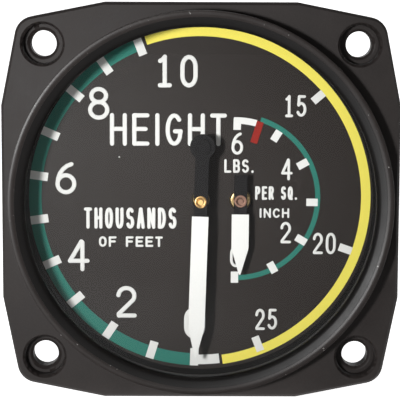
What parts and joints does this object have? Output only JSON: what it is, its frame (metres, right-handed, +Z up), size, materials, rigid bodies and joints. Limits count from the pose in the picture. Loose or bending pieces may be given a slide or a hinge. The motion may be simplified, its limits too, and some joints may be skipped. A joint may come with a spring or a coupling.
{
  "type": "cabin pressure indicator",
  "caption": "Square-flanged round panel gauge with a glass front, a large altitude pointer, a small pressure-difference pointer and a capsule-and-sector movement in its can.",
  "frame": {"origin": "centre of the four mounting holes, on the flange's rear face where it meets the panel", "axes": "+X to the right and +Z up as the dial is read, +Y back through the panel; the dial faces -Y"},
  "size_m": [0.0596, 0.0658, 0.0596],
  "materials": {
    "case": "moulded black, faint texture",
    "ring": "satin black",
    "glass": "clear flat glass",
    "rubber": "matt",
    "dial": "matt charcoal paint with printed marks",
    "pointer": "matt white and black paint",
    "brass": "machined",
    "plate": "brushed",
    "steel": "turned",
    "black_screw": "black oxide",
    "spring_bronze": "bright bronze",
    "copper": "drawn copper",
    "bronze": "sintered",
    "jewel": "polished ruby"
  },
  "bodies": {
    "housing": {"altitude_capsule": "spring_bronze", "altitude_capsule_base": "brass", "altitude_capsule_bracket": "plate", "altitude_capsule_nut": "brass", "altitude_front_bush": "brass", "altitude_hairspring": "spring_bronze", "altitude_hairspring_stud": "steel", "bracket_screws": "steel", "bridge_pillars": "brass", "bridge_screws": "steel", "case": "case", "case_screws": "black_screw", "cover_glass": "glass", "dial": "dial", "dial_feet": "steel", "dial_nuts": "steel", "differential_capsule": "spring_bronze", "differential_capsule_base": "brass", "differential_capsule_bracket": "plate", "differential_capsule_nut": "brass", "differential_front_bush": "brass", "differential_hairspring": "spring_bronze", "differential_hairspring_stud": "steel", "front_plate": "plate", "glass_gasket": "rubber", "pillar_screws": "steel", "pinion_bridge": "plate", "plate_pillars": "brass", "rear_plate": "plate", "rear_standoffs": "brass", "retaining_ring": "ring", "shaft_bushes": "brass", "staff_jewels": "jewel", "static_nipple": "brass", "static_tube": "copper", "vent_filter": "bronze"},
    "altitude_gear": {"altitude_arm": "brass", "altitude_sector": "brass", "altitude_shaft": "steel"},
    "altitude_rod": {"altitude_capsule_stud": "brass"},
    "altitude_hand": {"altitude_collet": "brass", "altitude_pointer": "pointer", "altitude_pointer_bush": "brass", "altitude_staff": "steel"},
    "altitude_linkage": {"altitude_link": "brass"},
    "differential_gear": {"differential_arm": "brass", "differential_sector": "brass", "differential_shaft": "steel"},
    "differential_rod": {"differential_capsule_stud": "brass"},
    "differential_hand": {"differential_collet": "brass", "differential_pointer": "pointer", "differential_pointer_bush": "brass", "differential_staff": "steel"},
    "differential_linkage": {"differential_link": "brass"}
  },
  "joints": [
    {"name": "altitude_gear_turn", "type": "hinge", "parent": "housing", "child": "altitude_gear", "pos_m": [-0.01167, 0.02, -0.016], "axis": [0, 1, 0], "range_deg": [-33.65, 0], "stiffness_Nm_per_rad": 0.02},
    {"name": "altitude_pointer_turn", "type": "hinge", "parent": "housing", "child": "altitude_hand", "pos_m": [0, 0, 0], "axis": [0, 1, 0], "range_deg": [0, 336.5], "deforming": ["altitude_hairspring"]},
    {"name": "altitude_link_pivot", "type": "hinge", "parent": "altitude_gear", "child": "altitude_linkage", "pos_m": [-0.01036, 0.02671, -0.01169], "axis": [0, 1, 0], "range_deg": [0, 33.65]},
    {"name": "altitude_stud_slide", "type": "slide", "parent": "housing", "child": "altitude_rod", "axis": [-1, 0, 0], "range_m": [0, 0.00261], "deforming": ["altitude_capsule"]},
    {"name": "differential_gear_turn", "type": "hinge", "parent": "housing", "child": "differential_gear", "pos_m": [0.01251, 0.02, 0.01549], "axis": [0, 1, 0], "range_deg": [0, 30.67], "stiffness_Nm_per_rad": 0.02},
    {"name": "differential_pointer_turn", "type": "hinge", "parent": "housing", "child": "differential_hand", "pos_m": [0.006, 0, 0], "axis": [0, 1, 0], "range_deg": [-184.02, 0], "deforming": ["differential_hairspring"]},
    {"name": "differential_link_pivot", "type": "hinge", "parent": "differential_gear", "child": "differential_linkage", "pos_m": [0.01357, 0.02671, 0.01163], "axis": [0, 1, 0], "range_deg": [-30.67, 0]},
    {"name": "differential_stud_slide", "type": "slide", "parent": "housing", "child": "differential_rod", "axis": [-1, 0, 0], "range_m": [0, 0.00212], "deforming": ["differential_capsule"]}
  ],
  "couplings": [
    {"joint": "altitude_pointer_turn", "follows": "altitude_gear_turn", "ratio": -10},
    {"joint": "altitude_link_pivot", "follows": "altitude_gear_turn", "ratio": -1},
    {"joint": "altitude_stud_slide", "follows": "altitude_gear_turn", "m_per_rad": -0.0044356},
    {"joint": "differential_pointer_turn", "follows": "differential_gear_turn", "ratio": -6},
    {"joint": "differential_link_pivot", "follows": "differential_gear_turn", "ratio": -1},
    {"joint": "differential_stud_slide", "follows": "differential_gear_turn", "m_per_rad": 0.0039524}
  ]
}
